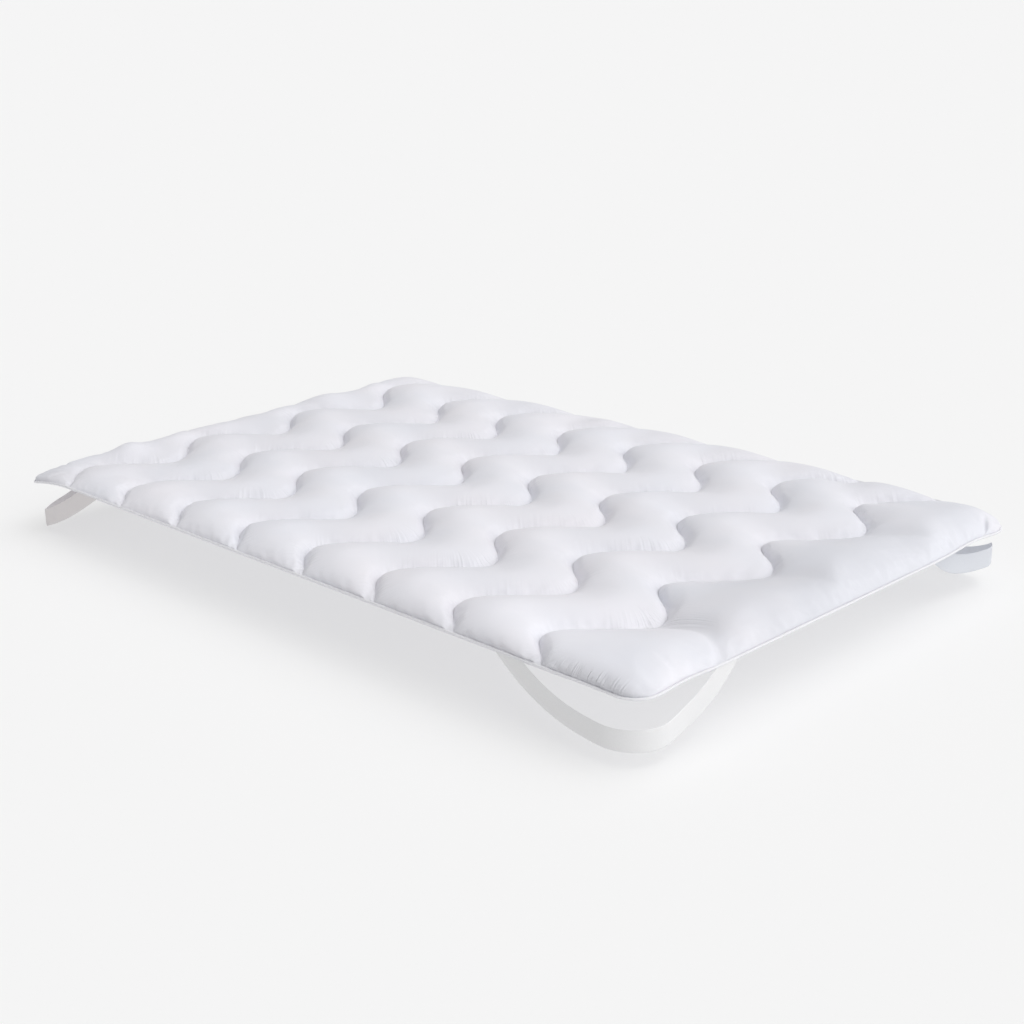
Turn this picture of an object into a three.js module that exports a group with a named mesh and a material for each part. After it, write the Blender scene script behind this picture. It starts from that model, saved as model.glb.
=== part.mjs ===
// A quilted mattress topper for a small double bed, held on by four elastic corner straps.
//
// The topper is one filled pad. Its top cloth is sewn down along wavy seams that run across the
// width, so that the filling stands up in soft channels between them. A thin piping closes the
// edge all the way round. At each corner a flat elastic strap hangs from the edge seam and goes
// round the corner of the mattress, which lifts straight up into the loop.
//
// Units are millimetres. The origin is the centre of the flat underside, +X runs along the
// length, +Y across the width and +Z up.

import * as THREE from "three";

// Size over the piping, before the edges are pulled in or bowed out.
const LENGTH = 1900;
const WIDTH = 1200;

// Heights above the flat underside.
const RIM_HEIGHT = 15; // middle of the piping
const SEAM_HEIGHT = 14; // top cloth where a quilting seam holds it down
const CROWN_RISE = 39; // how far a channel of ordinary width stands above its seams

// The edge of the pad.
const EDGE_ROLL = 78; // how far in the top cloth takes to round down to the piping
const FLAT_INSET = 32; // from the outline to the flat of the underside
const FLAT_CORNER_RADIUS = 165;

// Quilting: parallel wavy seams, all in step with each other.
const SEAM_COUNT = 8;
const SEAM_PITCH = 216;
const FIRST_SEAM_X = 692;
const WAVE_SWING = 50;
const WAVE_LENGTH = 314;
const WAVE_CREST_Y = -315;
const FAR_SEAM_LEAN = 42; // the middle seams lean this far to the right as they reach the far side
const FAR_SEAM_LEAN_FROM_Y = 400;
const CREASE_SHARPNESS = 0.62; // below 1 the cloth dives into the seam as a crease

// Piping and straps.
const PIPING_RADIUS = 2.6;
const PIPING_SIDES = 6;
const STRAP_WIDTH = 40;
const STRAP_THICKNESS = 1.8;
const STRAP_CORNER_EXTRA = 30; // the strap turns the corner on a larger radius than the pad
const STRAP_STEPS = 26;
const STRAP_END_HEIGHT = 4; // what is left of the band where it runs out under the piping
const GAP = 0.3; // between neighbouring pieces

// The corners: which end and side, the radius of the outline, how far the tip droops, and how
// the strap hangs. The reaches are measured along the edge from the middle of the corner to
// where the band's middle meets the piping, and the bends say how round each half hangs.
const CORNERS = [
  { name: "near_right", end: 1, side: -1, radius: 52, droop: 2,
    sag: 82, sideReach: 300, sideBend: 2.2, endReach: 229, endBend: 2.0 },
  { name: "near_left", end: -1, side: -1, radius: 52, droop: 22,
    sag: 110, sideReach: 255, sideBend: 1.35, endReach: 235, endBend: 1.7 },
  { name: "far_right", end: 1, side: 1, radius: 95, droop: 12,
    sag: 65, sideReach: 280, sideBend: 1.8, endReach: 272, endBend: 1.75 },
  { name: "far_left", end: -1, side: 1, radius: 55, droop: 4,
    sag: 85, sideReach: 290, sideBend: 2.0, endReach: 235, endBend: 2.0 },
];
const DROOP_REACH = 170;

// Places on the right-hand end where the edge is pulled in a little.
const PULLED_IN = [
  { y: -475, depth: 5, halfWidth: 55 },
  { y: 425, depth: 9, halfWidth: 90 },
];
const PULLED_IN_REACH = 150;

// The far side edge bows out between its two straps.
const FAR_SIDE_BOW = 22;
const FAR_SIDE_BOW_REACH = 320;

// Soft hollows in the end channel, each along an arc: the one at the near corner runs from the
// first seam's crest to the edge.
const HOLLOWS = [
  { x: 830, y: -470, radius: 138, fromDegrees: 35, toDegrees: 105, depth: 9, halfWidth: 24 },
];

const HOLLOW_FADE_DEGREES = 25;

// Mesh steps: shares of each channel's width, and distances in from the long edges.
const CHANNEL_SHARES = [0, 0.1, 0.27, 0.5, 0.73, 0.9];
const RIGHT_END_SHARES = [0, 0.02, 0.06, 0.13, 0.22, 0.34, 0.5, 0.7, 0.88];
const LEFT_END_SHARES = [0, 0.1, 0.27, 0.47, 0.65, 0.8, 0.92, 0.98];
const EDGE_INSETS = [0, 7, 22, 46, 78];
const ROWS_PER_WAVE = 10;
const UNDERSIDE_SHARES = [0.2, 0.55];

const HALF_LENGTH = LENGTH / 2;
const HALF_WIDTH = WIDTH / 2;

function cornerAt(x, y) {
  return CORNERS.find((corner) => corner.end === (x < 0 ? -1 : 1) && corner.side === (y < 0 ? -1 : 1));
}

// How far a point lies inside the rounded outline, which itself is drawn in by `offset`.
function insetFromOutline(x, y, offset) {
  const radius = cornerAt(x, y).radius - offset;
  const across = Math.abs(x) - (HALF_LENGTH - offset - radius);
  const along = Math.abs(y) - (HALF_WIDTH - offset - radius);
  const outside = Math.hypot(Math.max(across, 0), Math.max(along, 0));
  return radius - outside - Math.min(Math.max(across, along), 0);
}

// The outward direction of the outline next to a point on it.
function outwardAt(x, y, offset) {
  const radius = cornerAt(x, y).radius - offset;
  const across = Math.max(Math.abs(x) - (HALF_LENGTH - offset - radius), 0);
  const along = Math.max(Math.abs(y) - (HALF_WIDTH - offset - radius), 0);
  return new THREE.Vector2(across * Math.sign(x), along * Math.sign(y)).normalize();
}

function smooth(value) {
  const t = THREE.MathUtils.clamp(value, 0, 1);
  return t * t * (3 - 2 * t);
}

// How far a corner tip hangs down at a point.
function droopAt(x, y) {
  const corner = cornerAt(x, y);
  const distance = Math.hypot(x - corner.end * HALF_LENGTH, y - corner.side * HALF_WIDTH);
  return corner.droop * Math.max(1 - distance / DROOP_REACH, 0) ** 1.6;
}

// How far the right-hand end is pulled in at a point.
function pulledInAt(x, y) {
  const nearness = smooth(1 - (HALF_LENGTH - x) / PULLED_IN_REACH);
  let total = 0;
  for (const pull of PULLED_IN) {
    total += pull.depth * Math.exp(-(((y - pull.y) / pull.halfWidth) ** 2));
  }
  return total * nearness;
}

// How far the far side bows out at a point.
function bowedOutAt(x, y) {
  const nearness = smooth(1 - (HALF_WIDTH - y) / FAR_SIDE_BOW_REACH);
  const share = THREE.MathUtils.clamp(x / (HALF_LENGTH - 100), -1, 1);
  return FAR_SIDE_BOW * (1 - share * share) ** 0.7 * nearness;
}

// A point of the evenly laid topper, moved to where its edges are pulled in and bowed out.
function asItLies(point) {
  return {
    x: point.x - pulledInAt(point.x, point.y),
    y: point.y + bowedOutAt(point.x, point.y),
    z: point.z,
  };
}

function hollowAt(x, y) {
  let total = 0;
  for (const hollow of HOLLOWS) {
    const distance = Math.hypot(x - hollow.x, y - hollow.y);
    const angle = THREE.MathUtils.radToDeg(Math.atan2(y - hollow.y, x - hollow.x));
    const fadeIn = smooth((angle - hollow.fromDegrees) / HOLLOW_FADE_DEGREES + 1);
    const fadeOut = smooth((hollow.toDegrees - angle) / HOLLOW_FADE_DEGREES + 1);
    const within = fadeIn * fadeOut;
    total += within * hollow.depth * Math.exp(-(((distance - hollow.radius) / hollow.halfWidth) ** 2));
  }
  return total;
}

// Seam lines are numbered from the right-hand end: 0 and SEAM_COUNT + 1 are the two end edges.
function wavePhase(y) {
  return (2 * Math.PI * (y - WAVE_CREST_Y)) / WAVE_LENGTH;
}

function seamX(number, y, endX) {
  if (number === 0) {
    return endX;
  }
  if (number > SEAM_COUNT) {
    return -endX;
  }
  const nearFarSide = smooth((y - FAR_SEAM_LEAN_FROM_Y) / (HALF_WIDTH - FAR_SEAM_LEAN_FROM_Y));
  const lean = FAR_SEAM_LEAN * Math.sin((Math.PI * (number - 0.5)) / SEAM_COUNT) * nearFarSide;
  return FIRST_SEAM_X - (number - 1) * SEAM_PITCH + WAVE_SWING * Math.cos(wavePhase(y)) + lean;
}

// Where the seams run aslant, the channel is narrower from seam to seam and stands less high.
function slantLoss(y) {
  const slant = ((2 * Math.PI * WAVE_SWING) / WAVE_LENGTH) * Math.sin(wavePhase(y));
  return (1 + slant * slant) ** -0.2;
}

// Height of the top cloth in a channel, at a share of the way from one seam to the next.
function topHeight(x, y, channel, share, rimOffset) {
  const inset = Math.max(insetFromOutline(x, y, rimOffset), 0);
  const toRim = 1 - Math.min(inset / EDGE_ROLL, 1);
  const roll = Math.sqrt(1 - toRim * toRim);
  let acrossChannel = Math.sin(Math.PI * share);
  let rise = CROWN_RISE;
  if (channel === 0) {
    acrossChannel = Math.cos((Math.PI / 2) * share);
    rise = CROWN_RISE * 1.06;
  }
  if (channel === SEAM_COUNT) {
    acrossChannel = Math.sin((Math.PI / 2) * share);
    rise = CROWN_RISE * 0.92;
  }
  const crown = rise * slantLoss(y) * Math.max(acrossChannel, 0) ** CREASE_SHARPNESS;
  return RIM_HEIGHT + roll * (SEAM_HEIGHT - RIM_HEIGHT + crown - hollowAt(x, y)) - droopAt(x, y);
}

// The pad's rim lies inside the piping, a gap away from it.
const RIM_OFFSET = 2 * PIPING_RADIUS + GAP;

// Shares of the way along the whole pad, one for each mesh column: the channel and the share of it.
function columnShares() {
  const columns = [];
  for (let channel = 0; channel <= SEAM_COUNT; channel += 1) {
    let shares = CHANNEL_SHARES;
    if (channel === 0) {
      shares = RIGHT_END_SHARES;
    }
    if (channel === SEAM_COUNT) {
      shares = LEFT_END_SHARES;
    }
    for (const share of shares) {
      columns.push({ channel, share });
    }
  }
  columns.push({ channel: SEAM_COUNT, share: 1 });
  return columns;
}

// Distances from the pad's long axis, one for each mesh row, from the near side to the far side.
function rowPlaces() {
  const half = HALF_WIDTH - RIM_OFFSET;
  const last = EDGE_INSETS[EDGE_INSETS.length - 1];
  const step = WAVE_LENGTH / ROWS_PER_WAVE;
  const limit = half - last - step / 2;
  const rows = EDGE_INSETS.map((inset) => inset - half);
  const first = WAVE_CREST_Y - step * Math.floor((limit + WAVE_CREST_Y) / step);
  for (let y = first; y < limit; y += step) {
    rows.push(y);
  }
  for (const inset of [...EDGE_INSETS].reverse()) {
    rows.push(half - inset);
  }
  return rows;
}

// Brings a row in where the outline rounds off, so that the last rows follow the corner.
function roundedOff(x, y) {
  const half = HALF_WIDTH - RIM_OFFSET;
  const radius = cornerAt(x, y).radius - RIM_OFFSET;
  const past = Math.max(Math.abs(x) - (HALF_LENGTH - RIM_OFFSET - radius), 0);
  const lost = radius - Math.sqrt(Math.max(radius * radius - past * past, 0));
  return y * (1 - (lost / half) * smooth((Math.abs(y) - half / 2) / (half / 2)));
}

function padTopPoints() {
  const columns = columnShares();
  const rows = rowPlaces();
  const endX = HALF_LENGTH - RIM_OFFSET;
  return columns.map(({ channel, share }) =>
    rows.map((row) => {
      const x = THREE.MathUtils.lerp(seamX(channel, row, endX), seamX(channel + 1, row, endX), share);
      const y = roundedOff(x, row);
      return { x, y, z: topHeight(x, y, channel, share, RIM_OFFSET) };
    }),
  );
}

// The pad's rim as one loop, anticlockwise from above, starting at the near right corner.
function rimLoop(top) {
  const columns = top.length;
  const rows = top[0].length;
  const loop = [];
  for (let row = 0; row < rows - 1; row += 1) {
    loop.push({ column: 0, row });
  }
  for (let column = 0; column < columns - 1; column += 1) {
    loop.push({ column, row: rows - 1 });
  }
  for (let row = rows - 1; row > 0; row -= 1) {
    loop.push({ column: columns - 1, row });
  }
  for (let column = columns - 1; column > 0; column -= 1) {
    loop.push({ column, row: 0 });
  }
  return loop;
}

// The point of the underside's flat outline that belongs to a point of the rim.
function flatPoint(point) {
  const outward = outwardAt(point.x, point.y, RIM_OFFSET);
  const x = point.x - outward.x * (FLAT_INSET - RIM_OFFSET);
  const y = point.y - outward.y * (FLAT_INSET - RIM_OFFSET);
  const centreX = HALF_LENGTH - FLAT_INSET - FLAT_CORNER_RADIUS;
  const centreY = HALF_WIDTH - FLAT_INSET - FLAT_CORNER_RADIUS;
  const across = Math.max(Math.abs(x) - centreX, 0);
  const along = Math.max(Math.abs(y) - centreY, 0);
  const distance = Math.hypot(across, along);
  if (distance <= FLAT_CORNER_RADIUS) {
    return { x, y, z: 0 };
  }
  const shrink = FLAT_CORNER_RADIUS / distance;
  return {
    x: Math.sign(x) * (centreX + across * shrink),
    y: Math.sign(y) * (centreY + along * shrink),
    z: 0,
  };
}

// Collects points and triangles and turns them into a closed mesh geometry.
class Shell {
  constructor() {
    this.points = [];
    this.triangles = [];
  }

  addPoint(point) {
    const { x, y, z } = asItLies(point);
    this.points.push(x, y, z);
    return this.points.length / 3 - 1;
  }

  addQuad(a, b, c, d) {
    this.triangles.push(a, b, c, a, c, d);
  }

  geometry() {
    const geometry = new THREE.BufferGeometry();
    geometry.setAttribute("position", new THREE.Float32BufferAttribute(this.points, 3));
    geometry.setIndex(this.triangles);
    geometry.computeVertexNormals();
    return geometry;
  }
}

function padGeometry(top) {
  const shell = new Shell();
  const topIndex = top.map((column) => column.map((point) => shell.addPoint(point)));
  for (let column = 0; column < top.length - 1; column += 1) {
    for (let row = 0; row < top[0].length - 1; row += 1) {
      const here = topIndex[column];
      const next = topIndex[column + 1];
      shell.addQuad(here[row], here[row + 1], next[row + 1], next[row]);
    }
  }

  const loop = rimLoop(top);
  const rim = loop.map(({ column, row }) => top[column][row]);
  const flat = rim.map(flatPoint);
  let outer = loop.map(({ column, row }) => topIndex[column][row]);
  for (const share of [...UNDERSIDE_SHARES, 1]) {
    const inner = rim.map((point, k) => {
      const lift = 1 - Math.sqrt(1 - (1 - share) ** 2);
      return shell.addPoint({
        x: THREE.MathUtils.lerp(point.x, flat[k].x, share),
        y: THREE.MathUtils.lerp(point.y, flat[k].y, share),
        z: point.z * lift + Math.min(point.z - RIM_HEIGHT, 0) * (1 - share - lift),
      });
    });
    for (let k = 0; k < loop.length; k += 1) {
      const after = (k + 1) % loop.length;
      shell.addQuad(outer[k], inner[k], inner[after], outer[after]);
    }
    outer = inner;
  }

  const outline = flat.map((point) => new THREE.Vector2(point.x, point.y));
  for (const [a, b, c] of THREE.ShapeUtils.triangulateShape(outline, [])) {
    shell.triangles.push(outer[a], outer[c], outer[b]);
  }
  return shell.geometry();
}

// Leaves out the points of a loop that lie on the straight line between their kept neighbours.
function thinned(loop) {
  const kept = [loop[0]];
  for (let k = 1; k < loop.length; k += 1) {
    const before = kept[kept.length - 1];
    const here = loop[k];
    const after = loop[(k + 1) % loop.length];
    const chord = new THREE.Vector3(after.x - before.x, after.y - before.y, after.z - before.z);
    const offset = new THREE.Vector3(here.x - before.x, here.y - before.y, here.z - before.z);
    if (offset.cross(chord).length() / chord.length() > 0.02) {
      kept.push(here);
    }
  }
  return kept;
}

// The piping follows the pad's rim all the way round and closes on itself.
function pipingGeometry(top) {
  const shell = new Shell();
  const rim = rimLoop(top).map(({ column, row }) => top[column][row]);
  const laid = rim.map(asItLies);
  const kept = new Set(thinned(laid));
  const stations = rim.filter((point, k) => kept.has(laid[k]));
  const rings = stations.map((point) => {
    const outward = outwardAt(point.x, point.y, RIM_OFFSET);
    const ring = [];
    for (let side = 0; side < PIPING_SIDES; side += 1) {
      const angle = (2 * Math.PI * side) / PIPING_SIDES;
      const out = PIPING_RADIUS + GAP + PIPING_RADIUS * Math.cos(angle);
      ring.push(
        shell.addPoint({
          x: point.x + outward.x * out,
          y: point.y + outward.y * out,
          z: point.z + PIPING_RADIUS * Math.sin(angle),
        }),
      );
    }
    return ring;
  });
  rings.forEach((ring, k) => {
    const next = rings[(k + 1) % rings.length];
    for (let side = 0; side < PIPING_SIDES; side += 1) {
      const above = (side + 1) % PIPING_SIDES;
      shell.addQuad(ring[side], next[side], next[above], ring[above]);
    }
  });
  return shell.geometry();
}

// A point of the strap's path in plan, at a distance along it from the middle of the corner:
// positive towards the end edge, negative towards the side edge.
function strapPlace(corner, distance) {
  const inset = PIPING_RADIUS;
  const radius = corner.radius + STRAP_CORNER_EXTRA - inset;
  const quarter = (Math.PI / 4) * radius;
  const turn = THREE.MathUtils.clamp(distance / radius, -Math.PI / 4, Math.PI / 4);
  const angle = Math.PI / 4 - turn;
  const beyond = Math.max(Math.abs(distance) - quarter, 0) * Math.sign(distance);
  const out = new THREE.Vector2(Math.cos(angle), Math.sin(angle));
  const fromEnd = HALF_LENGTH - inset - radius + radius * out.x + Math.min(beyond, 0);
  const fromSide = HALF_WIDTH - inset - radius + radius * out.y - Math.max(beyond, 0);
  return {
    x: corner.end * fromEnd,
    y: corner.side * fromSide,
    outward: new THREE.Vector2(corner.end * out.x, corner.side * out.y),
  };
}

// How far the middle of the strap hangs below the piping, and its slope there.
function strapHang(corner, distance) {
  const reach = distance < 0 ? corner.sideReach : corner.endReach;
  const bend = distance < 0 ? corner.sideBend : corner.endBend;
  const share = Math.abs(distance) / reach;
  return {
    drop: corner.sag * (1 - share ** bend),
    slope: (corner.sag * bend * share ** (bend - 1)) / reach,
  };
}

function strapGeometry(corner) {
  const shell = new Shell();
  const roof = RIM_HEIGHT - PIPING_RADIUS * Math.sin(Math.PI / 3) - GAP;
  const edges = (distance) => {
    const hang = strapHang(corner, distance);
    const half = (STRAP_WIDTH / 2) * Math.hypot(1, hang.slope);
    const middle = RIM_HEIGHT - hang.drop;
    return { low: middle - half, high: Math.min(middle + half, roof) };
  };
  // Walk out from the corner until the band's lower edge is almost at the piping.
  const endOf = (sign) => {
    let distance = 0;
    while (edges(sign * distance).low < roof - STRAP_END_HEIGHT) {
      distance += 1;
    }
    return sign * distance;
  };
  const start = endOf(-1);
  const finish = endOf(1);
  const sections = [];
  for (let step = 0; step <= STRAP_STEPS; step += 1) {
    const distance = THREE.MathUtils.lerp(start, finish, step / STRAP_STEPS);
    const place = strapPlace(corner, distance);
    const { low, high } = edges(distance);
    const corners = [];
    for (const [side, z] of [[-1, low], [1, low], [1, high], [-1, high]]) {
      corners.push(
        shell.addPoint({
          x: place.x + (side * place.outward.x * STRAP_THICKNESS) / 2,
          y: place.y + (side * place.outward.y * STRAP_THICKNESS) / 2,
          z,
        }),
      );
    }
    sections.push(corners);
  }
  // Seen from inside the loop the path runs one way at two corners and the other way at two.
  const handed = corner.end * corner.side < 0;
  const quad = (a, b, c, d) => (handed ? shell.addQuad(a, d, c, b) : shell.addQuad(a, b, c, d));
  for (let k = 0; k < sections.length - 1; k += 1) {
    const here = sections[k];
    const next = sections[k + 1];
    for (let edge = 0; edge < 4; edge += 1) {
      const after = (edge + 1) % 4;
      quad(here[edge], here[after], next[after], next[edge]);
    }
  }
  const first = sections[0];
  const last = sections[sections.length - 1];
  quad(first[0], first[3], first[2], first[1]);
  quad(last[0], last[1], last[2], last[3]);
  return shell.geometry();
}

function cloth(colour, roughness) {
  return new THREE.MeshStandardMaterial({ color: colour, roughness, metalness: 0 });
}

function named(name, geometry, material) {
  const mesh = new THREE.Mesh(geometry, material);
  mesh.name = name;
  return mesh;
}

const topper = new THREE.Group();
const top = padTopPoints();
topper.add(named("quilted_pad", padGeometry(top), cloth(0xf1f1f6, 0.85)));
topper.add(named("edge_piping", pipingGeometry(top), cloth(0xf6f6fa, 0.7)));
for (const corner of CORNERS) {
  topper.add(named(`elastic_strap_${corner.name}`, strapGeometry(corner), cloth(0xe4e4e6, 0.8)));
}

export default topper;
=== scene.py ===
# %% [markdown]
# # A quilted mattress topper
#
# The topper is a thin duvet for a bed to lie on: two cloths with polyester filling between
# them, sewn together along wavy seams, closed round the edge with piping and held on the
# mattress by an elastic strap across each corner.
#
# Everything is in metres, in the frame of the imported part: the origin is the middle of the
# flat underside, +X runs along the length, +Y across the width and +Z up. Each plain solid is
# swapped for nearly the same form in finer cloth, left where it was.

import math

import bpy
import numpy as np
from mathutils import Matrix, Vector


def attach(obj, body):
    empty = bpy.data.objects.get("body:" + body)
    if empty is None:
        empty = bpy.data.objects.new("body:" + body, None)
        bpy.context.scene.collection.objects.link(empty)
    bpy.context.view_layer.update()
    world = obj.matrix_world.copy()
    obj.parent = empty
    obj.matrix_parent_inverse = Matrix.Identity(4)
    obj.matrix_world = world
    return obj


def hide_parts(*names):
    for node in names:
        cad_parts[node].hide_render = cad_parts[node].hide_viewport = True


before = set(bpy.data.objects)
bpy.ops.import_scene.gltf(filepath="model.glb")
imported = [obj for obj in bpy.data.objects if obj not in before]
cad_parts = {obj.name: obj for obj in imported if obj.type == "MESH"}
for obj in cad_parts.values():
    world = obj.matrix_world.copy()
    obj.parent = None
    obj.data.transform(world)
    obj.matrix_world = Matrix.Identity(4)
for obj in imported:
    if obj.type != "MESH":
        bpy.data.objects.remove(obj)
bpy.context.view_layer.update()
BODY = "root"
print("packed nodes:", sorted(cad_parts))

# %% [markdown]
# ## The camera
#
# A camera is a place, a direction and a lens. The direction is two turns and a slight tilt,
# and the matrix is written from its three axes: right, up and backwards. That leaves no doubt
# about the order of the turns.

# %% Camera
EYE = Vector((2.47687, -2.36366, 1.10553))
LENS_MM = 57.253
LOOKS_TOWARDS = 2.366687
LOOKS_DOWN = 0.318725
TILTS = -0.0233137

ahead = Vector(
    (
        math.cos(LOOKS_TOWARDS) * math.cos(LOOKS_DOWN),
        math.sin(LOOKS_TOWARDS) * math.cos(LOOKS_DOWN),
        -math.sin(LOOKS_DOWN),
    )
)
level_right = Vector((math.sin(LOOKS_TOWARDS), -math.cos(LOOKS_TOWARDS), 0.0))
level_up = level_right.cross(ahead)
right = math.cos(TILTS) * level_right + math.sin(TILTS) * level_up
up = math.cos(TILTS) * level_up - math.sin(TILTS) * level_right

camera_data = bpy.data.cameras.new("camera")
camera_data.sensor_width = 36.0
camera_data.lens = LENS_MM
camera_data.clip_end = 5000.0
camera = bpy.data.objects.new("camera", camera_data)
bpy.context.scene.collection.objects.link(camera)
turned = Matrix((right, up, -ahead)).transposed().to_4x4()
camera.matrix_world = Matrix.Translation(EYE) @ turned
bpy.context.scene.camera = camera
print("camera", tuple(round(c, 3) for c in EYE), "lens", LENS_MM, "mm")

# %% [markdown]
# ## The measures
#
# These are the sizes that the pad, the piping and the straps were cut to. Every surface is
# worked out from the same few numbers, which keeps the cloth, the edge and the straps
# together.

# %% Measures
LENGTH = 1.900
WIDTH = 1.200
RIM_HEIGHT = 0.015
SEAM_HEIGHT = 0.014
CROWN_RISE = 0.039
EDGE_ROLL = 0.078
FLAT_INSET = 0.032
FLAT_CORNER_RADIUS = 0.165

SEAM_COUNT = 8
SEAM_PITCH = 0.216
FIRST_SEAM_X = 0.700
WAVE_SWING = 0.056
WAVE_SKEW = 0.15
WAVE_LENGTH = 0.314
WAVE_CREST_Y = -0.325
FAR_SEAM_LEAN = 0.042
FAR_SEAM_LEAN_FROM_Y = 0.400
FAR_SEAM_LEAN_LEAST = 0.014
FAR_FULL = 0.45
FAR_FULL_FROM_Y = 0.450
FAR_FULL_REACH = 0.080

PIPING_RADIUS = 0.0026
STRAP_WIDTH = 0.040
DROOP_REACH = 0.170

HALF_LENGTH = LENGTH / 2
HALF_WIDTH = WIDTH / 2

# One row for each corner: which end and side it is at, the outline's radius there and how far
# the tip droops. Then its strap: the radius it turns on, how far inside the edge it runs, how
# far it sags, how much deeper the leg on the side dips, and how far each leg reaches and how
# full its curve is.
CORNERS = {
    "near_right": dict(
        end=1, side=-1, radius=0.052, droop=0.002, turn=0.082, inset=0.0, sag=0.082, dip=0.0,
        side_reach=0.276, side_bend=2.8, end_reach=0.208, end_bend=2.5),
    "near_left": dict(
        end=-1, side=-1, radius=0.028, droop=0.023, turn=0.070, inset=0.0, sag=0.108, dip=0.0,
        side_reach=0.245, side_bend=1.30, end_reach=0.235, end_bend=1.7),
    "far_right": dict(
        end=1, side=1, radius=0.108, droop=0.012, turn=0.060, inset=0.023, sag=0.064, dip=0.040,
        side_reach=0.270, side_bend=3.0, end_reach=0.245, end_bend=3.0),
    "far_left": dict(
        end=-1, side=1, radius=0.055, droop=0.004, turn=0.085, inset=0.0, sag=0.085, dip=0.0,
        side_reach=0.290, side_bend=2.0, end_reach=0.235, end_bend=2.0),
}


def corner_value(x, y, key):
    """One of the corners' numbers for each point, from the corner nearest to it."""
    value = {(c["end"], c["side"]): c[key] for c in CORNERS.values()}
    near = np.where(x < 0, value[-1, -1], value[1, -1])
    far = np.where(x < 0, value[-1, 1], value[1, 1])
    return np.where(y < 0, near, far)


print("topper", LENGTH, "x", WIDTH, "m,", SEAM_COUNT, "quilting seams")

# %% [markdown]
# ## How cloth is uneven
#
# No hand-filled quilt repeats itself. Smooth noise from a few waves of random direction and
# phase gives that unevenness. The generator has a fixed seed, so the topper comes out the
# same every time it is made.

# %% Smooth unevenness
def smooth(value):
    """0 below 0 and 1 above 1, with a soft step between them."""
    t = np.clip(value, 0.0, 1.0)
    return t * t * (3.0 - 2.0 * t)


def uneven(seed, size, waves=24):
    """A smooth random field over the plane: about -1 to 1, with bumps about `size` metres wide."""
    dice = np.random.default_rng(seed)
    angles = dice.uniform(0, 2 * math.pi, waves)
    lengths = size * dice.uniform(1.4, 3.0, waves)
    phases = dice.uniform(0, 2 * math.pi, waves)

    def field(x, y):
        total = np.zeros(np.broadcast(x, y).shape)
        for angle, length, phase in zip(angles, lengths, phases):
            run = x * math.cos(angle) + y * math.sin(angle)
            total += np.sin(2 * math.pi * run / length + phase)
        return total / math.sqrt(waves / 2) / 1.6

    return field


print("unevenness at one place:", round(float(uneven(11, 0.085)(0.0, 0.0)), 3))

# %% [markdown]
# ## The outline of the pad
#
# Seen from above the pad is a rectangle with a different small radius at each corner. Every
# height on the cloth depends on how far in from that outline a point lies, so the distance
# is worked out once, for whole arrays of points at a time. The right-hand end is pulled in
# a little in two places and the far side bows out between its straps.

# %% Outline
# Where along the end it is pulled in, how far, and how wide from the middle.
PULLED_IN = [(-0.475, 0.005, 0.055), (0.425, 0.009, 0.090)]
PULLED_IN_REACH = 0.150
FAR_SIDE_BOW = 0.022
FAR_SIDE_BOW_REACH = 0.320
FAR_SIDE_BOW_FULLNESS = 0.7
FAR_SIDE_BOW_END = 0.100
DROOP_BEND = 1.6


def past_corner_middle(x, y, offset, radius):
    """How far points lie beyond the middle of their corner's arc, each way."""
    return np.abs(x) - (HALF_LENGTH - offset - radius), np.abs(y) - (HALF_WIDTH - offset - radius)


def inset_from_outline(x, y, offset, radius=None):
    """How far a point lies inside the rounded outline, which itself is drawn in by `offset`."""
    if radius is None:
        radius = corner_value(x, y, "radius") - offset
    across, along = past_corner_middle(x, y, offset, radius)
    outside = np.hypot(np.maximum(across, 0), np.maximum(along, 0))
    return radius - outside - np.minimum(np.maximum(across, along), 0)


def outward(x, y, offset):
    """The outward direction of the outline beside each point."""
    radius = corner_value(x, y, "radius") - offset
    across, along = past_corner_middle(x, y, offset, radius)
    across, along = np.maximum(across, 0) * np.sign(x), np.maximum(along, 0) * np.sign(y)
    long = np.maximum(np.hypot(across, along), 1e-9)
    return across / long, along / long


def droop(x, y):
    """How far the corner tips hang down."""
    past = np.hypot(
        x - np.where(x < 0, -1, 1) * HALF_LENGTH, y - np.where(y < 0, -1, 1) * HALF_WIDTH
    )
    return corner_value(x, y, "droop") * np.maximum(1 - past / DROOP_REACH, 0) ** DROOP_BEND


def as_it_lies(x, y):
    """Moves points to where the edges are pulled in and bowed out."""
    pull = sum(depth * np.exp(-(((y - at) / half) ** 2)) for at, depth, half in PULLED_IN)
    pull = pull * smooth(1 - (HALF_LENGTH - x) / PULLED_IN_REACH)
    share = np.clip(x / (HALF_LENGTH - FAR_SIDE_BOW_END), -1, 1)
    bow = FAR_SIDE_BOW * (1 - share * share) ** FAR_SIDE_BOW_FULLNESS
    bow = bow * smooth(1 - (HALF_WIDTH - y) / FAR_SIDE_BOW_REACH)
    return x - pull, y + bow


print("inset at the middle:", round(float(inset_from_outline(0.0, 0.0, 0.0)), 3), "m")

# %% [markdown]
# ## The quilting lines
#
# A quilting machine sews all the wavy seams side by side with one row of needles, so they
# are the same wave in step, a needle spacing apart. The seams are numbered from the right,
# and the two ends of the pad count as seams too, so that every channel lies between two
# numbers.

# %% Quilting lines
HOOK_EARLY = 0.1
RUN_LOSS = 0.35
HOOK_LOSS = 0.18


def wave_phase(y):
    return 2 * math.pi * (y - WAVE_CREST_Y) / WAVE_LENGTH


def wave(y):
    """The wave of the seams: a cosine that swings back faster than it swings out."""
    phase = wave_phase(y)
    return WAVE_SWING * np.cos(phase - WAVE_SKEW * np.cos(phase))


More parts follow.
